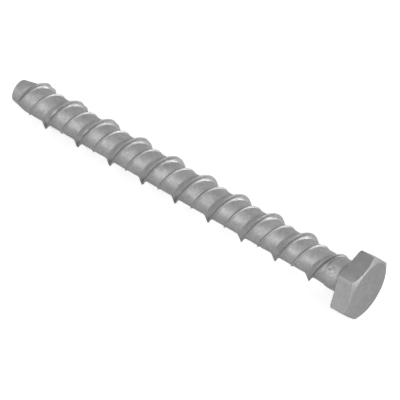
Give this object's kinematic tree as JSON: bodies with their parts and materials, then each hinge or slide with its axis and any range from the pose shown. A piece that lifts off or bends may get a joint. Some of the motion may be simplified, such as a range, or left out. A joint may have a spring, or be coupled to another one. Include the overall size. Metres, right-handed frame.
{
  "type": "concrete screw",
  "caption": "Galvanised screw that cuts its own thread into a drilled hole in concrete, with a plain hexagon head, a coarse high thread and a low ridge between its turns.",
  "frame": {"origin": "centre of the bearing face under the hexagon head", "axes": "+X along the screw's axis, out of the end face of the head; the shank and threads run towards -X; -Z faces out of one flat of the hexagon; +Y completes the frame"},
  "size_m": [0.131, 0.022, 0.019],
  "materials": {
    "galvanised_steel": "matt hot-dip galvanised"
  },
  "bodies": {
    "root": {"concrete_screw": "galvanised_steel"}
  },
  "joints": []
}
